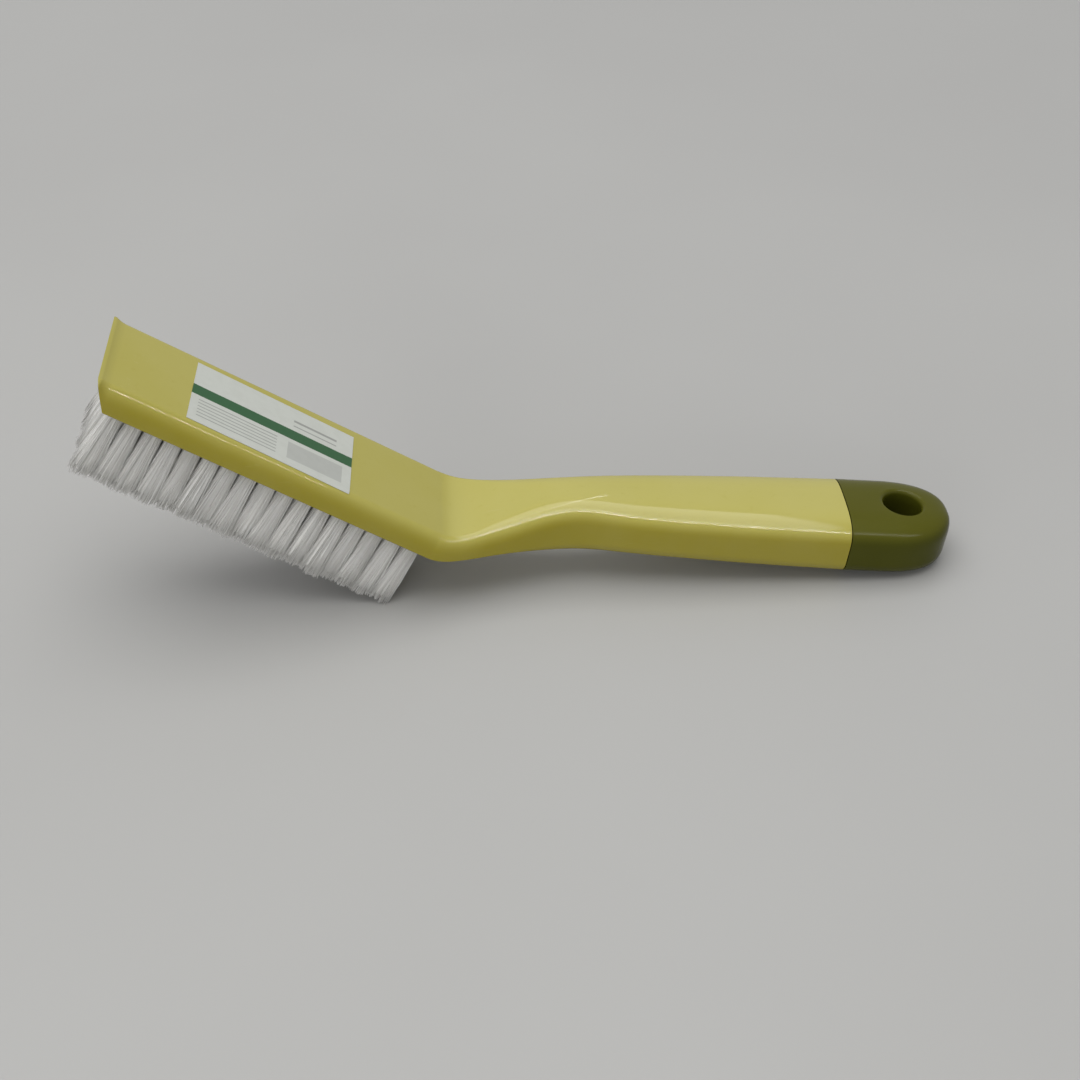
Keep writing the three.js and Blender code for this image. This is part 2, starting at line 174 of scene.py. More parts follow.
# Where the handle and the head lie in the part's own frame
body_low, body_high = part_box("brush_body")
joint = Vector((
    body_high.x / MM - GRIP_CROWN * math.sin(REST_TILT),
    0,
    body_low.z / MM + GRIP_DEPTH * math.cos(REST_TILT),
))
head_start = Vector((-GRIP_LENGTH - NECK_REACH, 0, -NECK_DROP))
head_way = Vector((-math.cos(HEAD_ANGLE), 0, math.sin(HEAD_ANGLE)))
handle_lie = Matrix.Translation(joint) @ Matrix.Rotation(REST_TILT, 4, "Y")
head_lie = handle_lie @ Matrix.Translation(head_start) @ Matrix.Rotation(HEAD_ANGLE, 4, "Y")

rake = math.tan(TIP_RAKE)
underside = -HEAD_THICKNESS / 2
filament_length = BRISTLE_LENGTH + TUFT_SEAT_DEPTH
row_pitch = (HEAD_WIDTH - 2 * ROW_SIDE_MARGIN) / (TUFT_ROWS - 1)
corner_at = HEAD_REAR_MARGIN + (TUFTS_IN_ROW - 1) * TUFT_PITCH + HEAD_FRONT_MARGIN
tip_at = corner_at + (HEAD_THICKNESS + LIP_RISE) * rake
lip_run = math.sqrt(LIP_RADIUS ** 2 - (LIP_RADIUS - LIP_RISE) ** 2)


def blend(first, second, share):
    return first + (second - first) * share


def smooth(position, start, end):
    share = min(max((position - start) / (end - start), 0), 1)
    return share * share * (3 - 2 * share)


# Handling pieces as by hand

def drop_selection():
    if bpy.context.object and bpy.context.object.mode != "OBJECT":
        bpy.ops.object.mode_set(mode="OBJECT")
    bpy.ops.object.select_all(action="DESELECT")


def take(*pieces):
    """Select these pieces alone, the first one active."""
    drop_selection()
    for piece in pieces:
        piece.select_set(True)
    bpy.context.view_layer.objects.active = pieces[0]
    return pieces[0]


def edit(piece):
    """Open a piece in edit mode with nothing selected."""
    take(piece)
    bpy.ops.object.mode_set(mode="EDIT")
    bpy.ops.mesh.select_all(action="DESELECT")
    return bmesh.from_edit_mesh(piece.data)


def close_edit():
    bpy.ops.object.mode_set(mode="OBJECT")


def select_where(piece, kind, wanted):
    """Select the faces or edges of the open piece that wanted says yes to."""
    mesh = bmesh.from_edit_mesh(piece.data)
    bpy.ops.mesh.select_mode(type="FACE" if kind == "faces" else "EDGE")
    bpy.ops.mesh.select_all(action="DESELECT")
    for element in getattr(mesh, kind):
        if wanted(element):
            element.select_set(True)
    mesh.select_flush_mode()
    bmesh.update_edit_mesh(piece.data)


def finish_modifier(piece, kind, **settings):
    """Add one modifier to a piece, set it and apply it."""
    take(piece)
    bpy.ops.object.modifier_add(type=kind)
    modifier = piece.modifiers[-1]
    for name, value in settings.items():
        setattr(modifier, name, value)
    bpy.ops.object.modifier_apply(modifier=modifier.name)


def cut_away(piece, cutter):
    finish_modifier(piece, "BOOLEAN", operation="DIFFERENCE", object=cutter, solver="EXACT")
    take(cutter)
    bpy.ops.object.delete()


def trim(piece, place, normal):
    """Cut a piece off flat at a plane, on the side the normal points to."""
    edit(piece)
    bpy.ops.mesh.select_all(action="SELECT")
    bpy.ops.mesh.bisect(
        plane_co=place, plane_no=normal, use_fill=True, clear_outer=True, threshold=1e-6,
    )
    close_edit()


def round_joint_edge(piece, normal, place):
    """Round the edges of the open piece's face at the parting line, then close it."""
    select_where(piece, "faces", lambda f: f.normal.dot(normal) > 0.999
                 and abs((f.calc_center_median() - place).dot(normal)) < 0.1 * MM)
    bpy.ops.mesh.region_to_loop()
    bpy.ops.mesh.bevel(
        offset=PARTING_EDGE_RADIUS * MM, segments=2, affect="EDGES", clamp_overlap=True,
    )
    close_edit()


def soften(piece, angle=32):
    """Smooth shading with flat faces kept flat."""
    take(piece)
    bpy.ops.object.shade_smooth_by_angle(angle=math.radians(angle))
    finish_modifier(piece, "WEIGHTED_NORMAL", keep_sharp=True, weight=60)


def note_painted_top_light(piece):
    """Keep on every point how far it faces up, for painted light and shade: a paler back and darker
    sides.
    """
    piece.data.attributes.new("painted_top_light", "FLOAT", "POINT")
    rises = [max(0, vertex.normal.z) for vertex in piece.data.vertices]
    piece.data.attributes["painted_top_light"].data.foreach_set("value", rises)


def face_outwards(piece):
    edit(piece)
    bpy.ops.mesh.select_all(action="SELECT")
    bpy.ops.mesh.normals_make_consistent(inside=False)
    close_edit()


def drawn_tube(name, outlines, lie):
    """A closed bar drawn through outlines of equal count: a filled circle is set to the first
    outline, and its face is extruded from outline to outline. Outlines are in millimetres."""
    placed = [[lie @ Vector(point) * MM for point in outline] for outline in outlines]
    drop_selection()
    bpy.ops.mesh.primitive_circle_add(
        vertices=len(placed[0]), radius=GRIP_CROWN * MM, fill_type="NGON", enter_editmode=True,
    )
    piece = bpy.context.object
    piece.name = name
    piece.data.name = name
    bpy.ops.mesh.select_mode(type="FACE")
    mesh = bmesh.from_edit_mesh(piece.data)
    mesh.verts.ensure_lookup_table()
    for vertex, place in zip(mesh.verts, placed[0]):
        vertex.co = place
    bmesh.update_edit_mesh(piece.data)
    for before, after in zip(placed, placed[1:]):
        bpy.ops.mesh.extrude_region_move()
        mesh = bmesh.from_edit_mesh(piece.data)
        moved = [vertex for vertex in mesh.verts if vertex.select]
        order = sorted(range(len(after)), key=lambda i: tuple(before[i]))
        for vertex, i in zip(sorted(moved, key=lambda v: tuple(v.co)), order):
            vertex.co = after[i]
        bmesh.update_edit_mesh(piece.data)
    close_edit()
    face_outwards(piece)
    return piece


# Body: spine, section and loft

def neck_points(count=400):
    """Points and ways along the neck's curve, with the length run so far."""
    pull_grip = Vector((-GRIP_LENGTH - NECK_EASE_GRIP, 0, 0))
    pull_head = head_start - head_way * NECK_EASE_HEAD
    corners = [Vector((-GRIP_LENGTH, 0, 0)), pull_grip, pull_head, head_start]
    points = []
    run = 0.0
    last = corners[0]
    for step in range(count + 1):
        t = step / count
        u = 1 - t
        point = (corners[0] * u ** 3 + corners[1] * 3 * u * u * t
                 + corners[2] * 3 * u * t * t + corners[3] * t ** 3)
        way = ((corners[1] - corners[0]) * u * u + (corners[2] - corners[1]) * 2 * u * t
               + (corners[3] - corners[2]) * t * t).normalized()
        run += (point - last).length
        last = point
        points.append((run, point, way))
    return points


neck = neck_points()
neck_runs = [entry[0] for entry in neck]
neck_length = neck_runs[-1]
head_station = GRIP_LENGTH + neck_length


def spine_at(along):
    """Point of the spine and its way, a distance along from the cap joint."""
    if along <= GRIP_LENGTH:
        return Vector((-along, 0, 0)), Vector((-1, 0, 0))
    if along >= head_station:
        return head_start + head_way * (along - head_station), head_way
    run = along - GRIP_LENGTH
    after = min(max(bisect.bisect(neck_runs, run), 1), len(neck) - 1)
    (run_a, point_a, way_a), (run_b, point_b, way_b) = neck[after - 1], neck[after]
    share = (run - run_a) / (run_b - run_a)
    return point_a.lerp(point_b, share), way_a.lerp(way_b, share).normalized()


def curve_through(pairs):
    """A smooth curve through (position, value) pairs, each slope the mean of the chords beside it."""
    at = [pair[0] for pair in pairs]
    values = [pair[1] for pair in pairs]
    chords = [(values[i + 1] - values[i]) / (at[i + 1] - at[i]) for i in range(len(at) - 1)]
    slopes = [chords[0], *((a + b) / 2 for a, b in zip(chords, chords[1:])), chords[-1]]

    def value_at(position):
        i = min(max(bisect.bisect(at, position) - 1, 0), len(at) - 2)
        span = at[i + 1] - at[i]
        t = (position - at[i]) / span
        rise = t * t * (3 - 2 * t)
        return (blend(values[i], values[i + 1], rise)
                + span * t * (1 - t) * (slopes[i] * (1 - t) - slopes[i + 1] * t))
    return value_at


waist_station = GRIP_LENGTH + WAIST_FROM_NECK
neck_middle = (waist_station + head_station) / 2
half_width_at = curve_through([
    (0, GRIP_WIDTH / 2),
    (waist_station * 0.4, blend(WAIST_WIDTH, GRIP_WIDTH, 0.8) / 2),
    (waist_station * 0.75, blend(WAIST_WIDTH, GRIP_WIDTH, 0.43) / 2),
    (waist_station, WAIST_WIDTH / 2),
    (neck_middle, blend(WAIST_WIDTH, HEAD_WIDTH, 0.48) / 2),
    (head_station - NECK_WIDE_BEFORE_HEAD, HEAD_WIDTH / 2),
    (head_station + NECK_WIDE_BEFORE_HEAD, HEAD_WIDTH / 2),
])
crown_at = curve_through([
    (0, GRIP_CROWN),
    (waist_station * 0.75, blend(WAIST_CROWN, GRIP_CROWN, 0.3)),
    (waist_station, WAIST_CROWN),
    (neck_middle, blend(NECK_THICKNESS / 2, WAIST_CROWN, 0.33)),
    (head_station - NECK_THIN_BEFORE_HEAD, NECK_THICKNESS / 2),
    (head_station, HEAD_THICKNESS / 2),
])
depth_at = curve_through([
    (0, GRIP_DEPTH),
    (waist_station * 0.75, WAIST_DEPTH),
    (waist_station, WAIST_DEPTH),
    (neck_middle, blend(NECK_THICKNESS / 2, WAIST_DEPTH, 0.18)),
    (head_station - NECK_THIN_BEFORE_HEAD, NECK_THICKNESS / 2 - 0.2),
    (head_station, HEAD_THICKNESS / 2),
])


class Section:
    """The outline of the body square to its spine: a back with oval shoulders, a belly with rounded
    edges. A fullness of 2 makes the shoulders elliptic, more makes them squarer."""

    def __init__(self, along):
        share = smooth(along, GRIP_LENGTH, head_station - NECK_THIN_BEFORE_HEAD)
        on_head = along >= head_station
        self.half = HEAD_WIDTH / 2 if on_head else half_width_at(along)
        self.top = HEAD_THICKNESS / 2 if on_head else crown_at(along)
        self.bottom = HEAD_THICKNESS / 2 if on_head else depth_at(along)
        self.across = blend(self.half, HEAD_EDGE_ACROSS, share)
        self.down = blend(GRIP_SHOULDER_DROP, HEAD_EDGE_DOWN, share)
        self.fullness = blend(GRIP_FULLNESS, 2, share)
        self.lower = blend(GRIP_EDGE_RADIUS, HEAD_LOWER_RADIUS, share)

    def curl(self, share):
        """Draw the back and the sides out towards the tip's lip."""
        self.top += LIP_RISE * share
        self.half += LIP_FLARE * share
        self.across = blend(HEAD_EDGE_ACROSS, RIM_EDGE_ACROSS, share)
        self.down = blend(HEAD_EDGE_DOWN, RIM_EDGE_DOWN, share)
        return self

    def draw_in(self, share):
        """Draw the section in towards the cap's rounded end."""
        end, crown, belly = [
            (1 - share ** fullness) ** (1 / fullness)
            for fullness in (CAP_END_FULLNESS, CAP_CROWN_FULLNESS, CAP_BELLY_FULLNESS)
        ]
        self.half *= end
        self.top *= crown
        self.bottom *= belly
        self.down *= crown
        self.across = self.half
        self.lower = min(self.lower, self.half * 0.9)
        return self

    def outline(self, along):
        """The points round the section, set on the spine."""
        point, way = spine_at(along)
        across = min(self.across, self.half * 0.985)
        squeeze = min(1, 0.94 * (self.top + self.bottom) / (self.down + self.lower))
        down = self.down * squeeze
        lower = self.lower * squeeze
        corners = [
            (self.half - across, self.top - down, across, down, self.fullness),
            (across - self.half, self.top - down, across, down, self.fullness),
            (lower - self.half, lower - self.bottom, lower, lower, 2),
            (self.half - lower, lower - self.bottom, lower, lower, 2),
        ]
        points = []
        for quarter, (middle, height, wide, tall, fullness) in enumerate(corners):
            for step in range(CORNER_STEPS + 1):
                angle = (quarter + step / CORNER_STEPS) * math.pi / 2
                out = middle + wide * oval(math.cos(angle), fullness)
                up = height + tall * oval(math.sin(angle), fullness)
                points.append((point.x + way.z * up, out, point.z - way.x * up))
        return points


def oval(part, fullness):
    size = abs(part) if abs(part) > 1e-9 else 0
    return math.copysign(size ** (2 / fullness), part)


def moulded_body():
    """The one-piece body: grip, neck and head, the curled and raked tip, the socket for the cap
    and the tuft holes."""
    stations = [GRIP_LENGTH * step / GRIP_STEPS for step in range(GRIP_STEPS)]
    stations += [GRIP_LENGTH + neck_length * step / NECK_STEPS for step in range(NECK_STEPS)]
    stations += [head_station + reach for reach in HEAD_REACHES]
    outlines = [Section(along).outline(along) for along in stations]
    curl_start = head_station + tip_at - RIM_THICKNESS - lip_run
    for step in range(CURL_STEPS + 1):
        run = lip_run * step / CURL_STEPS
        share = (LIP_RADIUS - math.sqrt(LIP_RADIUS ** 2 - run ** 2)) / LIP_RISE
        outlines.append(Section(head_station).curl(share).outline(curl_start + run))
    outlines.append(Section(head_station).curl(1).outline(head_station + tip_at + 1))
    body = drawn_tube("body_shell", outlines, handle_lie)

    tip_point = head_lie @ Vector((-corner_at, 0, underside)) * MM
    tip_normal = head_lie.to_3x3() @ Vector((-math.cos(TIP_RAKE), 0, -math.sin(TIP_RAKE)))
    trim(body, tip_point, tip_normal)
    edit(body)
    select_where(body, "faces", lambda f: f.normal.dot(tip_normal) > 0.999)
    bpy.ops.mesh.region_to_loop()
    bpy.ops.mesh.bevel(
        offset=TIP_EDGE_RADIUS * MM, segments=4, affect="EDGES", clamp_overlap=True,
    )

    joint_normal = handle_lie.to_3x3() @ Vector((1, 0, 0))
    select_where(body, "faces", lambda f: f.normal.dot(joint_normal) > 0.999)
    bpy.ops.mesh.inset(thickness=HANDLE_WALL * MM)
    bpy.ops.mesh.extrude_region_move(
        TRANSFORM_OT_translate={"value": -joint_normal * SOCKET_LENGTH * MM},
    )
    round_joint_edge(body, joint_normal, handle_lie @ Vector((0, 0, 0)) * MM)
    cut_away(body, tuft_hole_cutter())
    soften(body)
    note_painted_top_light(body)
    return body


def circle_outline(radius, height, count):
    return [
        (radius * math.cos(2 * math.pi * i / count), radius * math.sin(2 * math.pi * i / count), height)
        for i in range(count)
    ]


def tuft_place(row, place):
    return Vector((
        -(HEAD_REAR_MARGIN + place * TUFT_PITCH),
        (row - (TUFT_ROWS - 1) / 2) * row_pitch,
        underside,
    ))


def copy_of(piece, name, move):
    """A copy of a piece with its own mesh, moved in its vertices."""
    mesh = piece.data.copy()
    mesh.transform(move)
    twin = bpy.data.objects.new(name, mesh)
    bpy.context.scene.collection.objects.link(twin)
    return twin


def joined(pieces, name):
    take(*pieces)
    if len(pieces) > 1:
        bpy.ops.object.join()
    whole = bpy.context.object
    whole.name = name
    whole.data.name = name
    return whole


def tuft_hole_cutter():
    """All the tuft holes as one cutter: a countersunk peg made once and copied to each place."""
    outlines = [
        circle_outline(TUFT_HOLE_RADIUS + TUFT_HOLE_FLARE, -TUFT_HOLE_OVERRUN, TUFT_HOLE_SIDES),
        circle_outline(TUFT_HOLE_RADIUS, TUFT_HOLE_COUNTERSINK, TUFT_HOLE_SIDES),
        circle_outline(TUFT_HOLE_RADIUS, TUFT_HOLE_DEPTH, TUFT_HOLE_SIDES),
    ]
    peg = drawn_tube("peg", outlines, Matrix.Identity(4))
    lie = Matrix.Scale(MM, 4) @ head_lie @ Matrix.Scale(1 / MM, 4)
    pegs = []
    for row in range(TUFT_ROWS):
        for place in range(TUFTS_IN_ROW):
            spot = Matrix.Translation(tuft_place(row, place) * MM)
            pegs.append(copy_of(peg, "peg_copy", lie @ spot))
    take(peg)
    bpy.ops.object.delete()
    return joined(pegs, "tuft_holes")


# End cap

def end_cap():
    """The snap-in cap: the handle's section drawn in to a rounded end, with a hanging hole, a flat
    to rest on and a plug that goes into the handle."""
    outlines = [Section(0).outline(-PARTING_GAP), Section(0).outline(-CAP_STRAIGHT * 0.5)]
    for step in range(CAP_STEPS + 1):
        share = math.sin(step / CAP_STEPS * CAP_END_SHARE * math.pi / 2)
        reach = blend(CAP_STRAIGHT, CAP_LENGTH, share)
        outlines.append(Section(0).draw_in(share).outline(-reach))
    cap = drawn_tube("end_cap_shell", outlines, handle_lie)

    wide = HOLE_RADIUS + HOLE_RIM_RADIUS
    belly_rim = [(wide + HOLE_OVERRUN_FLARE, -GRIP_DEPTH - HOLE_OVERRUN)]
    crown_rim = [(wide + HOLE_OVERRUN_FLARE, GRIP_CROWN + HOLE_OVERRUN)]
    for step in range(HOLE_RIM_STEPS + 1):
        angle = math.pi / 2 * step / HOLE_RIM_STEPS
        radius = wide - HOLE_RIM_RADIUS * math.sin(angle)
        sink = HOLE_RIM_RADIUS * (1 - math.cos(angle))
        belly_rim.append((radius, sink - GRIP_DEPTH))
        crown_rim.append((radius, GRIP_CROWN - sink))
    bore = belly_rim + crown_rim[::-1]
    centre = Matrix.Translation((HOLE_FROM_JOINT, 0, 0))
    cutter = drawn_tube(
        "hanging_hole", [circle_outline(r, h, HOLE_SIDES) for r, h in bore], handle_lie @ centre,
    )
    cut_away(cap, cutter)
    trim(cap, (0, 0, 0), (0, 0, -1))

    joint_normal = handle_lie.to_3x3() @ Vector((-1, 0, 0))
    edit(cap)
    select_where(cap, "faces", lambda f: f.normal.dot(joint_normal) > 0.999)
    bpy.ops.mesh.dissolve_faces()
    bpy.ops.mesh.inset(thickness=(HANDLE_WALL + PLUG_CLEARANCE) * MM)
    bpy.ops.mesh.extrude_region_move(
        TRANSFORM_OT_translate={"value": joint_normal * PLUG_LENGTH * MM},
    )
    round_joint_edge(cap, joint_normal, handle_lie @ Vector((PARTING_GAP, 0, 0)) * MM)
    soften(cap)
    note_painted_top_light(cap)
    return cap


# Label

def film_label():
    """A thin film stuck on the back of the head, not quite flat."""
    drop_selection()
    bpy.ops.mesh.primitive_grid_add(
        x_subdivisions=LABEL_CELLS_ALONG,
        y_subdivisions=LABEL_CELLS_ACROSS,
        size=1,
        enter_editmode=False,
    )
    label = bpy.context.object
    label.name = "label_film"
    label.data.name = "label_film"
    centre = Vector((-(LABEL_FROM_NECK + LABEL_LENGTH / 2), LABEL_OFFSET, HEAD_THICKNESS / 2))
    skew = Matrix.Rotation(-LABEL_SKEW, 3, "Z")
    flat_half = HEAD_WIDTH / 2 - HEAD_EDGE_ACROSS
    sheet = [(v.co.x * LABEL_LENGTH, v.co.y * LABEL_WIDTH) for v in label.data.vertices]
    for vertex, (x, y) in zip(label.data.vertices, sheet):
        ripple = FILM_RIPPLE * math.sin(x * 0.41 + 0.7) * math.cos(y * 0.33 + 0.2)
        edge = max(abs(vertex.co.x), abs(vertex.co.y)) * 2
        lift = FILM_EDGE_LIFT * smooth(edge, 0.92, 1)
        place = centre + skew @ Vector((x, y, 0))
        past = max(0, abs(place.y) - flat_half) / HEAD_EDGE_ACROSS
        place.z += FILM_GAP + ripple + lift
        place.z -= HEAD_EDGE_DOWN * (1 - math.sqrt(1 - past * past))
        vertex.co = head_lie @ place * MM
    for name, axis in (("along", 0), ("across", 1)):
        label.data.attributes.new(name, "FLOAT", "POINT")
        label.data.attributes[name].data.foreach_set("value", [spot[axis] for spot in sheet])
    finish_modifier(label, "SOLIDIFY", thickness=FILM_THICKNESS * MM, offset=1)
    face_outwards(label)
    soften(label, 40)
    return label


# Bristles

def nylon_filament():
    """One filament, upright from the origin: a three-sided taper cut into lengths so it can bend."""
    drop_selection()
    bpy.ops.mesh.primitive_cone_add(
        vertices=3,
        radius1=FILAMENT_RADIUS * MM,
        radius2=FILAMENT_RADIUS * FILAMENT_TAPER * MM,
        depth=filament_length * MM,
        location=(0, 0, filament_length * MM / 2),
        enter_editmode=True,
    )
    filament = bpy.context.object
    bpy.ops.object.mode_set(mode="OBJECT")
    bpy.ops.object.transform_apply(location=True, rotation=True, scale=True)
    edit(filament)
    half_length = filament_length * MM / 2
    select_where(filament, "edges", lambda e: abs(e.verts[0].co.z - e.verts[1].co.z) > half_length)
    bpy.ops.mesh.subdivide(number_cuts=2)
    close_edit()
    filament.data.attributes.new("tone", "FLOAT", "POINT")
    return filament


def tuft_reach(turn, share):
    """How far a tuft reaches to one side: round at its root, nearly square at its tips."""
    square = 1 / max(abs(math.cos(turn)), abs(math.sin(turn)))
    tip = TUFT_TIP_REACH * blend(1, square, TUFT_TIP_SQUARENESS)
    return blend(TUFT_ROOT_RADIUS, tip, share)


def bent_filament(filament, i, clumps):
    """A copy of the filament with its own root place, lean, bend, length and tone."""
    turn = i * math.pi * (3 - math.sqrt(5)) + random.uniform(-FILAMENT_TWIST, FILAMENT_TWIST)
    out = ((i + 0.5) / FILAMENTS_IN_TUFT) ** FILAMENT_CROWDING
    way = Vector((math.cos(turn), math.sin(turn), 0))
    wander = Vector((random.gauss(0, FILAMENT_WANDER), random.gauss(0, FILAMENT_WANDER), 0))
    bow = Vector((random.gauss(0, FILAMENT_BOW), random.gauss(0, FILAMENT_BOW), 0))
    clump = int(turn / (2 * math.pi) * CLUMPS_IN_TUFT) % CLUMPS_IN_TUFT
    grow = 1 + random.uniform(*FILAMENT_LENGTHS) + clumps[clump]
    if random.random() < STRAY_SHARE:
        grow += random.uniform(*STRAY_LENGTHS)
    tone = random.random()
    spin = Matrix.Rotation(random.uniform(0, math.pi), 4, "Z")
    mesh = filament.data.copy()
    mesh.transform(spin)
    for vertex in mesh.vertices:
        share = vertex.co.z / (filament_length * MM)
        push = way * out * tuft_reach(turn, share)
        push += wander * share + bow * share * (1 - share) * 1.6
        vertex.co.x += push.x * MM
        vertex.co.y += push.y * MM
        vertex.co.z *= grow
    mesh.attributes["tone"].data.foreach_set("value", [tone] * len(mesh.vertices))
    piece = bpy.data.objects.new("filament_copy", mesh)
    bpy.context.scene.collection.objects.link(piece)
    return piece


def tuft_core():
    """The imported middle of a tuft, closed behind the filaments round it."""
    outlines = []
    for share, fill in CORE_FILLS:
        turns = [2 * math.pi * i / CORE_SIDES for i in range(CORE_SIDES)]
        reaches = [CORE_SHARE * fill * tuft_reach(turn, share) for turn in turns]
        outlines.append([
            (reach * math.cos(turn), reach * math.sin(turn), filament_length * share)
            for turn, reach in zip(turns, reaches)
        ])
    core = drawn_tube("tuft_core", outlines, Matrix.Identity(4))
    core.data.attributes.new("tone", "FLOAT", "POINT")
    core.data.attributes["tone"].data.foreach_set("value", [CORE_TONE] * len(core.data.vertices))
    return core


def bristle_rows():
    """Four rows of tufts: a few tufts are made from one filament, then copied to all the holes."""
    filament = nylon_filament()
    tufts = []
    for shape in range(TUFT_SHAPES):
        clumps = [random.gauss(0, CLUMP_UNEVENNESS) for clump in range(CLUMPS_IN_TUFT)]
        strands = [bent_filament(filament, i, clumps) for i in range(FILAMENTS_IN_TUFT)]
        tufts.append(joined([tuft_core(), *strands], f"tuft_shape_{shape}"))
    lie = Matrix.Scale(MM, 4) @ head_lie @ Matrix.Scale(1 / MM, 4)
    flip = Matrix.Rotation(math.pi, 4, "X")
    sink = Matrix.Translation((0, 0, TUFT_SEAT_DEPTH * MM))
    rows = []
    for row in range(TUFT_ROWS):
        copies = []
        for place in range(TUFTS_IN_ROW):
            spot = Matrix.Translation(tuft_place(row, place) * MM)
            turn = Matrix.Rotation(random.randrange(4) * math.pi / 2, 4, "Z")
            lean = Matrix.Identity(4)
            front = max(0, place - (TUFTS_IN_ROW - 1 - LEANING_TUFTS)) / LEANING_TUFTS
            lean[0][2] = FRONT_TUFT_LEAN * front ** 1.5 + random.gauss(0, TUFT_LEAN_ALONG)
            lean[1][2] = random.gauss(0, TUFT_LEAN_ACROSS)
            source = random.choice(tufts)
            copies.append(copy_of(source, "tuft_copy", lie @ spot @ sink @ lean @ flip @ turn))
        rows.append(joined(copies, f"bristle_row_{row + 1}"))
        for vertex in rows[-1].data.vertices:
            vertex.co.z = max(vertex.co.z, FLOOR_CLEARANCE * MM)
        face_outwards(rows[-1])
        bpy.ops.object.shade_smooth()
    take(filament, *tufts)
    bpy.ops.object.delete()
    return rows


# Finishes: shader maths written as expressions

class Wire:
    """A value running through a finish. Arithmetic on it adds Math nodes."""

    def __init__(self, finish, socket):
        self.finish = finish
        self.socket = socket

    def maths(self, operation, first, second):
        return self.finish.node("ShaderNodeMath", {"operation": operation}, {0: first, 1: second})

    def __add__(self, other):
        return self.maths("ADD", self, other)

    def __mul__(self, other):
        return self.maths("MULTIPLY", self, other)

    def __radd__(self, other):
        return self.maths("ADD", other, self)

    def __rmul__(self, other):
        return self.maths("MULTIPLY", other, self)

    def between(self, start, end):
        """1 where the value lies from start to end, with a hard edge."""
        return self.maths("GREATER_THAN", self, start) * self.maths("LESS_THAN", self, end)

    def ramp(self, start, end):
        """0 before start, 1 after end, eased between."""
        settings = {"interpolation_type": "SMOOTHSTEP", "clamp": True}
        return self.finish.node("ShaderNodeMapRange", settings, {0: self, 1: start, 2: end})


class Finish:
    """One material and the nodes that make it."""

    def __init__(self, name):
        self.material = bpy.data.materials.new(name)
        self.material.use_nodes = True
        self.tree = self.material.node_tree
        self.shader = self.tree.nodes["Principled BSDF"]

    def node(self, kind, settings=None, inputs=None, output=0):
        """A node of this kind, with its settings first and then its sockets' values or links."""
        made = self.tree.nodes.new(kind)
        for name, value in (settings or {}).items():
            setattr(made, name, value)
        self.connect(made, inputs or {})
        return Wire(self, self.socket(made.outputs, output))

    def socket(self, sockets, wanted):
        """The wanted one of a node's sockets in use, by its name or its number."""
        in_use = [socket for socket in sockets if socket.enabled]
        if isinstance(wanted, int):
            return in_use[wanted]
        return next(socket for socket in in_use if socket.name == wanted)

    def connect(self, made, inputs):
        for name, value in inputs.items():
            socket = self.socket(made.inputs, name)
            if isinstance(value, Wire):
                self.tree.links.new(value.socket, socket)
            else:
                socket.default_value = value

    def mark(self, name):
        """A number kept on the piece's own points."""
        return self.node("ShaderNodeAttribute", {"attribute_name": name}, None, "Fac")

    def place(self, turn=(0, 0, 0), scale=(1, 1, 1)):
        """Object coordinates of the piece, turned and scaled."""
        here = self.node("ShaderNodeTexCoord", None, None, "Object")
        settings = {"Vector": here, "Rotation": turn, "Scale": scale}
        return self.node("ShaderNodeMapping", {"vector_type": "POINT"}, settings)

    def noise(self, where, scale, detail):
        inputs = {"Vector": where, "Scale": scale, "Detail": detail, "Roughness": 0.5}
        return self.node("ShaderNodeTexNoise", None, inputs)

    def mix(self, share, first, second):
        """Colour first where share is 0, second where it is 1."""
        inputs = {"Factor": share, "A": first, "B": second}
        return self.node("ShaderNodeMix", {"data_type": "RGBA"}, inputs)

    def bump(self, height, strength, distance):
        inputs = {"Height": height, "Strength": strength, "Distance": distance}
        return self.node("ShaderNodeBump", None, inputs)

    def surface(self, **inputs):
        self.connect(self.shader, {name.replace("_", " "): value for name, value in inputs.items()})
        return self.material


def colour(red, green, blue):
    return (red, green, blue, 1)


def moulded_plastic(name, side, slope, back, bloom, gloss, density):
    """Injection-moulded plastic with painted light and shade: darker on its sides, paler on its slopes
    and palest on its level back, as light falls there, slightly clouded, with faint handling scuffs
    along the length and a very slightly wavy skin."""
    finish = Finish(name)
    here = finish.place()
    cloud = finish.noise(here, 38, 3).ramp(0.3, 0.7)
    fleck = finish.noise(here, 420, 2).ramp(0.6, 0.78)
    along = finish.place(turn=(0, -0.1, 0), scale=(22, 900, 900))
    scuff = finish.noise(along, 1.0, 2).ramp(0.62, 0.74)
    patch = finish.noise(here, 60, 2).ramp(0.5, 0.68)
    wear = scuff * patch
    painted_top_light = finish.mark("painted_top_light")
    # painted light and shade: side, slope and back are shaded and lit versions of one plastic colour,
    # mixed by how far the surface faces up
    tint = finish.mix(painted_top_light.ramp(0.1, 0.85), side, slope)
    tint = finish.mix(painted_top_light.ramp(0.9, 1.0), tint, back)
    tint = finish.mix(cloud * 0.06 + wear * 0.08, tint, bloom)
    tint = finish.mix(fleck * 0.1, tint, side)
    ripple = finish.noise(here, 90, 1)
    return finish.surface(
        Base_Color=tint,
        Roughness=gloss + cloud * 0.02 + wear * 0.1,
        IOR=density,
        Normal=finish.bump(ripple + scuff * 0.02, 0.05, 0.0003),
    )


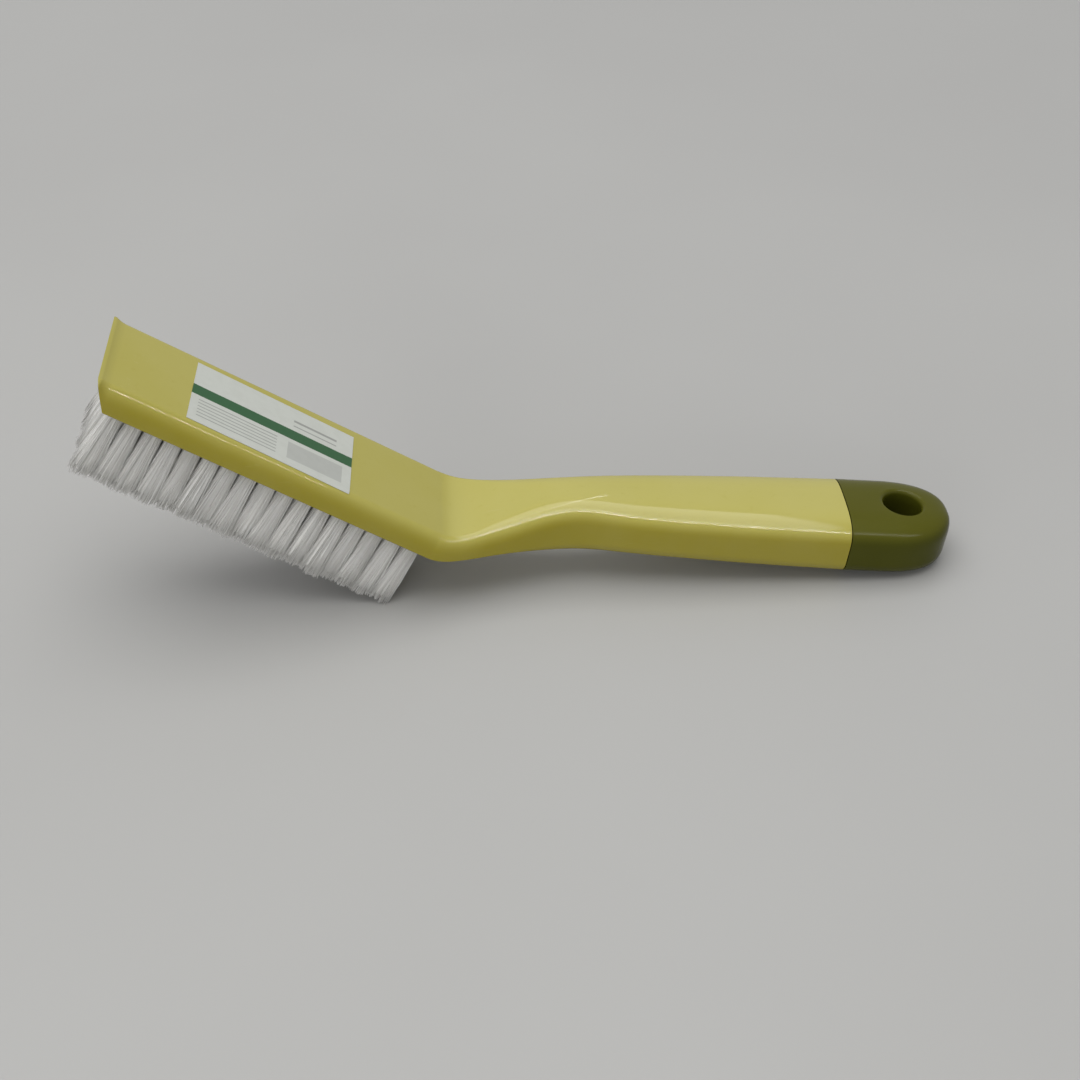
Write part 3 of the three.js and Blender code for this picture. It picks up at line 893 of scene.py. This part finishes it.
def nylon():
    """White nylon monofilament, each filament a little lighter or darker, with a little grime."""
    finish = Finish("white_nylon")
    tone = finish.mark("tone")
    tint = finish.mix(tone, colour(0.75, 0.74, 0.705), colour(0.88, 0.873, 0.85))
    grime = finish.noise(finish.place(), 160, 2).ramp(0.45, 0.7)
    tint = finish.mix(grime * 0.08, tint, colour(0.66, 0.64, 0.58))
    return finish.surface(
        Base_Color=tint,
        Roughness=0.4 + tone * 0.16,
        IOR=1.53,
        Normal=finish.bump(finish.noise(finish.place(), 900, 1), 0.1, 0.0001),
    )


def label_print():
    """White satin film with one plain green band and thin grey rules, no words."""
    finish = Finish("label_print")
    across = finish.mark("across")
    along = finish.mark("along")
    here = finish.place()
    band = across.between(-1.5, 3.1)
    rules = across.between(-3.6, -3.2)
    for line in (-5.1, -6.6, -8.1, -9.6, -11.1):
        rules = rules + across.between(line, line + 0.4)
    rules = rules * along.between(-23, 1.5)
    heading = (across.between(7.4, 8.4) + across.between(5.2, 5.7)) * along.between(6, 20)
    panel = across.between(-11.1, -3.2) * along.between(5, 22.5)
    speck = finish.noise(here, 300, 2).ramp(0.4, 0.7)
    paper = finish.mix(speck * 0.5, colour(0.55, 0.565, 0.515), colour(0.51, 0.525, 0.475))
    tint = finish.mix(panel * 0.4, paper, colour(0.26, 0.26, 0.25))
    tint = finish.mix((rules + heading) * 0.6, tint, colour(0.15, 0.15, 0.14))
    tint = finish.mix(band, tint, colour(0.022, 0.1, 0.032))
    return finish.surface(
        Base_Color=tint,
        Roughness=0.42 + speck * 0.1,
        IOR=1.48,
        Normal=finish.bump(finish.noise(here, 220, 2), 0.1, 0.0003),
    )


def pale_floor():
    finish = Finish("pale_floor")
    here = finish.place()
    cloud = finish.noise(here, 5, 3).ramp(0.25, 0.75)
    tint = finish.mix(cloud, colour(0.425, 0.42, 0.405), colour(0.44, 0.436, 0.42))
    return finish.surface(Base_Color=tint, Roughness=0.4 + cloud * 0.05, IOR=1.4)


# Making and dressing the pieces

def dress(piece, material, slot, *nodes):
    piece.data.materials.clear()
    piece.data.materials.append(material)
    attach(piece, "root")
    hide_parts(*nodes)


# side is painted shade, slope is painted half light and back is the brightest painted light, all of one
# lime plastic
lime = moulded_plastic(
    "lime_plastic",
    side=colour(0.305, 0.253, 0.01),
    slope=colour(0.425, 0.378, 0.077),
    back=colour(0.47, 0.424, 0.107),
    bloom=colour(0.6, 0.56, 0.3),
    gloss=0.05,
    density=1.5,
)
# side is painted shade; slope and back are the same lit colour of one olive plastic
olive = moulded_plastic(
    "olive_plastic",
    side=colour(0.058, 0.06, 0.004),
    slope=colour(0.084, 0.083, 0.007),
    back=colour(0.084, 0.083, 0.007),
    bloom=colour(0.17, 0.17, 0.06),
    gloss=0.2,
    density=1.22,
)

dress(moulded_body(), lime, "body_plastic", "brush_body")
dress(end_cap(), olive, "cap_plastic", "end_cap")
dress(film_label(), label_print(), "label_film", "label")
white_nylon = nylon()
for number, row_piece in enumerate(bristle_rows(), 1):
    dress(row_piece, white_nylon, "bristle", f"tuft_row_{number}")


# Floor, light and camera

def lay_floor():
    drop_selection()
    bpy.ops.mesh.primitive_plane_add(size=6, location=(0, 0, -0.00005))
    floor = bpy.context.object
    floor.name = "floor"
    floor.data.materials.append(pale_floor())


def hang_lamp(name, place, aim, size, watts, lights=True, glints=True):
    """A rectangular lamp at place, facing aim, that lights the pieces, shows in their gloss, or both."""
    lamp = bpy.data.lights.new(name, "AREA")
    lamp.shape = "RECTANGLE"
    lamp.size, lamp.size_y = size
    lamp.energy = watts
    holder = bpy.data.objects.new(name, lamp)
    holder.location = place
    holder.rotation_euler = (Vector(aim) - Vector(place)).to_track_quat("-Z", "Y").to_euler()
    holder.visible_diffuse = lights
    holder.visible_glossy = glints
    bpy.context.scene.collection.objects.link(holder)


lay_floor()
hang_lamp("ceiling_panel", (-0.25, 0.08, 1.6), (-0.25, 0.08, 0), (1.9, 1.7), 20.5)
hang_lamp("front_panel", (-1.1, -1.9, 0.6), (-0.08, 0, 0.045), (1.5, 0.7), 11.5, glints=False)
hang_lamp("tube_near", (-0.1, -0.56, 1.1), (0, 0, 0), (2.6, 0.014), 9.7, lights=False)
hang_lamp("tube_far", (-0.1, -0.24, 1.1), (0, 0, 0), (2.6, 0.012), 2.2, lights=False)
hang_lamp("tube_back", (-0.1, 0.04, 1.1), (0, 0, 0), (2.6, 0.012), 0.9, lights=False)

world = bpy.data.worlds.new("studio")
world.use_nodes = True
world.node_tree.nodes["Background"].inputs["Color"].default_value = (0.97, 0.98, 1, 1)
world.node_tree.nodes["Background"].inputs["Strength"].default_value = 0.47
bpy.context.scene.world = world
bpy.context.scene.view_settings.view_transform = "Standard"

lens = bpy.data.cameras.new("camera")
lens.sensor_width = 36
lens.lens = 55
lens.clip_start = 0.01
camera = bpy.data.objects.new("camera", lens)
camera.location = (-0.02318, -0.39565, 0.32589)
camera.rotation_euler = [math.radians(angle) for angle in (51.379, -0.024, -3.660)]
bpy.context.scene.collection.objects.link(camera)
bpy.context.scene.camera = camera
